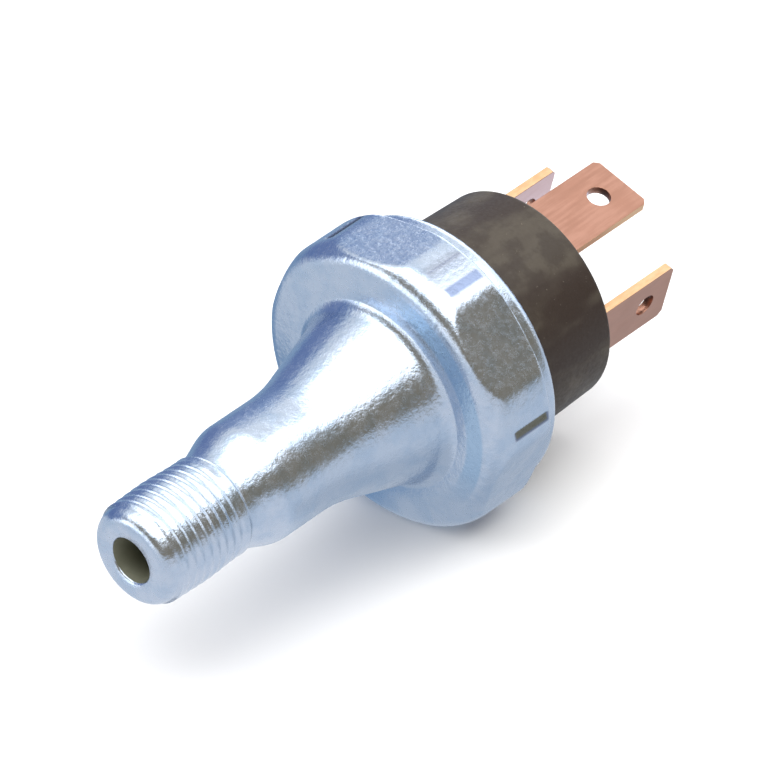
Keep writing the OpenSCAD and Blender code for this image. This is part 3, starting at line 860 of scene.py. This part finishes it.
def wind_spring():
    """Sweeps the wire round the axis: closed turns at both ends, open ones between."""
    bm = bmesh.new()
    start = Matrix.Translation((spring_low.x + wire_r, coil_r, 0))
    ring = bmesh.ops.create_circle(bm, cap_ends=False, radius=wire_r, segments=12, matrix=start)["verts"]
    last = ring + list(dict.fromkeys(e for v in ring for e in v.link_edges))
    climb = spring_high.x - spring_low.x - 2 * wire_r
    open_pitch = (climb - 2 * closed_pitch) / (coil_turns - 2)
    for turn in range(coil_turns):
        pitch = closed_pitch if turn in (0, coil_turns - 1) else open_pitch
        last = bmesh.ops.spin(
            bm, geom=last, cent=(0, 0, 0), axis=(1, 0, 0), dvec=(pitch / turn_steps, 0, 0),
            angle=2 * math.pi, steps=turn_steps, use_merge=False, use_duplicate=False,
        )["geom_last"]
    bmesh.ops.holes_fill(bm, edges=[e for e in bm.edges if e.is_boundary], sides=0)
    return bm


music_wire = lined_metal(
    "music_wire", (0.34, 0.34, 0.36), (0.5, 0.5, 0.52), rough=(0.2, 0.38), lines=(2500, 2500), seed=15)
spring = make_piece("wound_spring", wind_spring(), smooth_angle=50)
fitted(spring, music_wire, "root", "calibration_spring")
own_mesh(spring)

for node, metal in (("adjusting_screw", turned_steel), ("threaded_insert", turned_brass)):
    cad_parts[node].material_slots[0].material = metal

# Black compound, poured in: glossy, with a slight ripple.
potting = clouded(
    "potting", (0.012, 0.012, 0.014), (0.03, 0.03, 0.034), rough=(0.18, 0.4),
    scales=(500, 2500), seed=14, relief=("Cloud", 0.4, 0.08 * mm), Specular_IOR_Level=0.5)
plug_face = [
    (plug_high.x - meniscus * (1 - (i / 8) ** 4), plug_high.y * i / 8) for i in range(8, -1, -1)
]
plug_outline = [(plug_low.x, 0), (plug_low.x, plug_high.y)] + plug_face
plug = turned("poured_seal", plug_outline, plug_edge, closed=False)
fitted(plug, potting, "root", "seal_plug")

# ------------------------------------------------------------------- base
# The base is moulded in dark brown phenolic: a cup with drafted sides, a slot
# for each blade, a recess for the seal, and ejector pin marks on its end.

base_draft = 0.35 * mm
base_edge_r = 0.4 * mm
end_wall_t = 3.2 * mm
base_end_x = base_high.x
base_r = bore_r - crimp_cover - 0.15 * mm
base_end_r = base_r - base_draft
cavity_end_x = base_end_x - end_wall_t
plug_recess_r = plug_high.y + mould_clear
insert_bore_r = plug_recess_r - 0.2 * mm + mould_clear
guide_recess_r = guide_high.y + mould_clear
cavity_r = guide_recess_r - 0.8 * mm
end_groove_r = base_end_r - 1.2 * mm
end_groove_w = 0.35 * mm
end_groove_t = 0.12 * mm
slot_w = 6.39 * mm
slot_t = 0.84 * mm
moulded_edge = 0.1 * mm
cup_steps = 160
pin_mark_r = 0.8 * mm
pin_mark_at = 6.6 * mm
pin_mark_t = 0.1 * mm
slot_over = 0.6 * mm
pin_over = 0.3 * mm


def phenolic():
    """Dark brown phenolic: wood-flour clouds, flow bands, fine grain and a few pale specks."""
    dark_flour, pale_flour = (0.04, 0.029, 0.02), (0.066, 0.053, 0.038)
    flow_band, speck = (0.027, 0.016, 0.011), (0.2, 0.17, 0.13)
    material, tree, shader = new_material("phenolic", Specular_IOR_Level=0.35)
    skin = add_skin(tree, 330, 2600, 16)
    flow = ranged(tree, add_streaks(tree, 60, 170), 0.42, 0.6, 0, 1, "SMOOTHSTEP")
    clouds = ranged(tree, skin.outputs["Cloud"], 0.42, 0.58, 0, 1, "SMOOTHSTEP")
    specks = ranged(tree, skin.outputs["Grain"], 0.66, 0.72, 0, 0.5)
    colour = blended(tree, clouds, dark_flour, pale_flour)
    colour = blended(tree, flow, colour, flow_band)
    colour = blended(tree, specks, colour, speck)
    tree.links.new(colour, shader.inputs["Base Color"])
    tree.links.new(ranged(tree, skin.outputs["Grain"], 0.3, 0.7, 0.42, 0.62), shader.inputs["Roughness"])
    bumped(tree, shader, skin.outputs["Height"], 0.5, 0.04 * mm)
    return material


def base_outline():
    """The cup's section: over the flange, along the drafted side, across the end and back inside."""
    groove = [
        (base_end_x - end_groove_t * math.sin(math.pi * i / 4), end_groove_r - end_groove_w * i / 4)
        for i in range(5)
    ]
    return (
        [(base_low.x, guide_recess_r), (base_low.x, base_high.z)]
        + [(flange_end_x, base_high.z), (flange_end_x, base_r)]
        + straight(flange_end_x, base_r, base_end_x - base_edge_r, base_end_r, 6)
        + arc(base_end_x - base_edge_r, base_end_r - base_edge_r, base_edge_r, 0, 90, 6)[1:]
        + groove
        + [(base_end_x, plug_recess_r), (plug_low.x, plug_recess_r), (plug_low.x, insert_bore_r)]
        + [(cavity_end_x, insert_bore_r), (cavity_end_x, cavity_r), (guide_back_x, cavity_r)]
        + [(guide_back_x, guide_recess_r)]
    )


def base_cutters():
    """Bars for the three slots and short pins for the ejector marks."""
    bm = bmesh.new()
    low_x, high_x = cavity_end_x - slot_over, base_end_x + slot_over
    slots = {"terminal_common": along_v, "terminal_nc": along_u, "terminal_no": -along_u}
    for node, outward in slots.items():
        across = Vector((1, 0, 0)).cross(outward)
        sides = Matrix((Vector((high_x - low_x, 0, 0)), across * slot_w, outward * slot_t)).transposed()
        middle = outward * (reach(node, outward) - strip_t / 2) + Vector(((low_x + high_x) / 2, 0, 0))
        bmesh.ops.create_cube(bm, size=1, matrix=Matrix.Translation(middle) @ sides.to_4x4())
    for side in (-1, 1):
        middle = (along_u * side * 0.5 - along_v).normalized() * pin_mark_at
        middle.x = base_end_x + pin_over
        bmesh.ops.create_cone(
            bm, cap_ends=True, segments=32, radius1=pin_mark_r, radius2=pin_mark_r,
            depth=2 * (pin_over + pin_mark_t),
            matrix=Matrix.Translation(middle) @ Matrix.Rotation(math.pi / 2, 4, "Y"),
        )
    return bm


def carved(name, bm, cutters):
    """The mesh with the cutters taken out of it, as a new bmesh."""
    piece = make_piece(name, bm)
    cutter = make_piece(name + "_cutter", cutters)
    cut = piece.modifiers.new("cut", "BOOLEAN")
    cut.operation = "DIFFERENCE"
    cut.solver = "EXACT"
    cut.object = cutter
    shown = piece.evaluated_get(bpy.context.evaluated_depsgraph_get())
    result = bmesh.new()
    result.from_mesh(shown.to_mesh())
    shown.to_mesh_clear()
    for spent in (piece, cutter):
        mesh = spent.data
        bpy.data.objects.remove(spent)
        bpy.data.meshes.remove(mesh)
    return result


cup = bmesh.new()
spin_outline(cup, base_outline(), cup_steps, closed=True)
base_bm = carved("cup", cup, base_cutters())
base = stamped("phenolic_base", base_bm, moulded_edge)
fitted(base, phenolic(), "root", "base")

# ------------------------------------------------------------------ stage
# A plain pale floor under a wide soft overhead light, in a room with warm
# dark walls on one side and cool ones on the other. No lamp is needed.

floor_drop = 0.2 * mm
floor_size = 3.0

# Each patch of the floor's painted reflection, seen only in the metal: its colour, and the axes and
# distances over which it comes in. Under the head it is a painted shadow, behind the blades a painted
# highlight.
painted_reflection_patches = {
    "under the head": (
        (0.60, 0.65, 0.72),
        [("x", 0.02, 0.026), ("x", 0.055, 0.048), ("y", -0.022, -0.012), ("y", 0.012, 0.004)]),
    "under the snout": (
        (0.92, 0.93, 0.97), [("x", 0.021, 0.0175), ("x", -0.04, -0.02), ("y", 0.027, 0.02)]),
    "beyond the face": ((0.30, 0.43, 0.60), [("x", 0.0165, 0.021), ("y", 0.0, 0.006)]),
    "off the near side": ((0.32, 0.29, 0.23), [("x", 0.035, 0.07), ("y", -0.04, -0.1)]),
    "behind the blades": (
        (1.7, 2.2, 3.0), [("x", 0.059, 0.064), ("y", 0.0, 0.004), ("y", 0.018, 0.012)]),
}


def combined(tree, operation, *values):
    """A sum of values, each a number or a socket."""
    return wire(tree, "ShaderNodeMath", dict(enumerate(values)), operation=operation).outputs[0]


def within(tree, axes, steps):
    """A product of soft steps. Each names its axis, and where it stands at 0 and at 1."""
    mask = None
    for axis, start, end in steps:
        values = (start, end, 0, 1) if start < end else (end, start, 1, 0)
        step = ranged(tree, axes[axis], *values, "SMOOTHSTEP")
        mask = step if mask is None else combined(tree, "MULTIPLY", mask, step)
    return mask


def grey(tree, level):
    """A grey light as strong as the level."""
    return wire(tree, "ShaderNodeCombineXYZ", {"X": level, "Y": level, "Z": level}).outputs[0]


def studio_world():
    """A bright box overhead, pale screens low behind and in front, and walls from warm to blue."""
    warm_wall, cool_wall, deep_wall = (0.30, 0.25, 0.18), (0.32, 0.42, 0.64), (0.19, 0.26, 0.48)
    world = bpy.data.worlds.new("studio")
    bpy.context.scene.world = world
    world.use_nodes = True
    tree = world.node_tree
    tree.nodes.clear()
    place = wire(tree, "ShaderNodeTexCoord").outputs["Generated"]
    x, y, z = wire(tree, "ShaderNodeSeparateXYZ", {0: place}).outputs
    # The first three axes are the direction looked in. The others slant between two of them.
    axes = {
        "x": x, "y": y, "z": z,
        "cool": combined(tree, "MULTIPLY_ADD", x, 0.5, y),
        "lean": combined(tree, "MULTIPLY_ADD", x, 0.3, y),
        "rise": combined(tree, "MULTIPLY_ADD", y, -0.45, z),
    }
    walls = blended(tree, within(tree, axes, [("cool", 0.2, 0.55)]), warm_wall, cool_wall)
    walls = blended(tree, within(tree, axes, [("y", 0.62, 0.95)]), walls, deep_wall)
    box = within(tree, axes, [("z", 0.53, 0.72), ("x", -0.7, -0.42)])
    near_side = within(tree, axes, [("y", 0.0, -0.3)])
    centre = within(tree, axes, [("x", 0.5, 0.25), ("lean", 0.54, 0.3)])
    box_level = ranged(tree, combined(tree, "MAXIMUM", near_side, centre), 0, 1, 1.05, 3.0)
    behind = within(tree, axes, [("x", 0.62, 0.74), ("y", -0.7, -0.4)])
    front = within(tree, axes, [("x", -0.6, -0.74), ("rise", 0.34, 0.22)])
    front_level = ranged(tree, y, -0.1, 0.6, 1.4, 2.6)
    screen_level = combined(tree, "MAXIMUM", front_level, combined(tree, "MULTIPLY", behind, 1.8))
    screens = combined(tree, "MAXIMUM", behind, front)
    colour = blended(tree, screens, walls, grey(tree, screen_level))
    colour = blended(tree, box, colour, grey(tree, box_level))
    lit = wire(tree, "ShaderNodeBackground", {"Color": colour, "Strength": 1})
    plain = wire(tree, "ShaderNodeBackground", {"Color": (1, 1, 1, 1), "Strength": 1})
    seen = wire(tree, "ShaderNodeLightPath").outputs["Is Camera Ray"]
    shown = wire(tree, "ShaderNodeMixShader", {0: seen, 1: lit.outputs[0], 2: plain.outputs[0]})
    wire(tree, "ShaderNodeOutputWorld", {"Surface": shown.outputs[0]})


def floor_paint():
    """Matt white, with a painted reflection where it is seen in the metal: a cooler glow, with patches of
    painted shade and painted highlight.
    """
    material, tree, shader = new_material("floor_paint", Roughness=0.8)
    skin = add_skin(tree, 6, 60, 3)
    colour = blended(tree, skin.outputs["Cloud"], (0.9, 0.9, 0.9), (0.92, 0.92, 0.92))
    tree.links.new(colour, shader.inputs["Base Color"])
    place = wire(tree, "ShaderNodeTexCoord").outputs["Object"]
    x, y, z = wire(tree, "ShaderNodeSeparateXYZ", {0: place}).outputs
    sheen = (0.80, 0.84, 0.90)
    for tint, steps in painted_reflection_patches.values():
        sheen = blended(tree, within(tree, {"x": x, "y": y}, steps), sheen, tint)
    glow = wire(tree, "ShaderNodeEmission", {"Color": sheen, "Strength": 1})
    mirrored = wire(tree, "ShaderNodeLightPath").outputs["Is Glossy Ray"]
    both = wire(tree, "ShaderNodeMixShader", {0: mirrored, 1: shader.outputs[0], 2: glow.outputs[0]})
    tree.links.new(both.outputs[0], tree.nodes["Material Output"].inputs["Surface"])
    return material


studio_world()
bpy.context.scene.view_settings.view_transform = "Standard"

bm = bmesh.new()
floor_place = Matrix.Translation((0, 0, housing_low.z - floor_drop))
bmesh.ops.create_grid(bm, x_segments=1, y_segments=1, size=floor_size, matrix=floor_place)
floor = make_piece("floor", bm)
floor.data.materials.append(floor_paint())

# The camera has a long lens. It stands above the port's end and looks back along the switch.
camera_data = bpy.data.cameras.new("camera")
camera_data.lens = 375
camera_data.sensor_width = 36
camera = bpy.data.objects.new("camera", camera_data)
camera_place = Vector((-0.3687, -0.44495, 0.36726))
forward = Vector((0.5707, 0.6336, -0.5223)).normalized()
right = Vector((0.6795, -0.7216, -0.1328))
right = (right - right.dot(forward) * forward).normalized()
up = right.cross(forward)
camera.matrix_world = Matrix.Translation(camera_place) @ Matrix((right, up, -forward)).transposed().to_4x4()
bpy.context.scene.collection.objects.link(camera)
bpy.context.scene.camera = camera
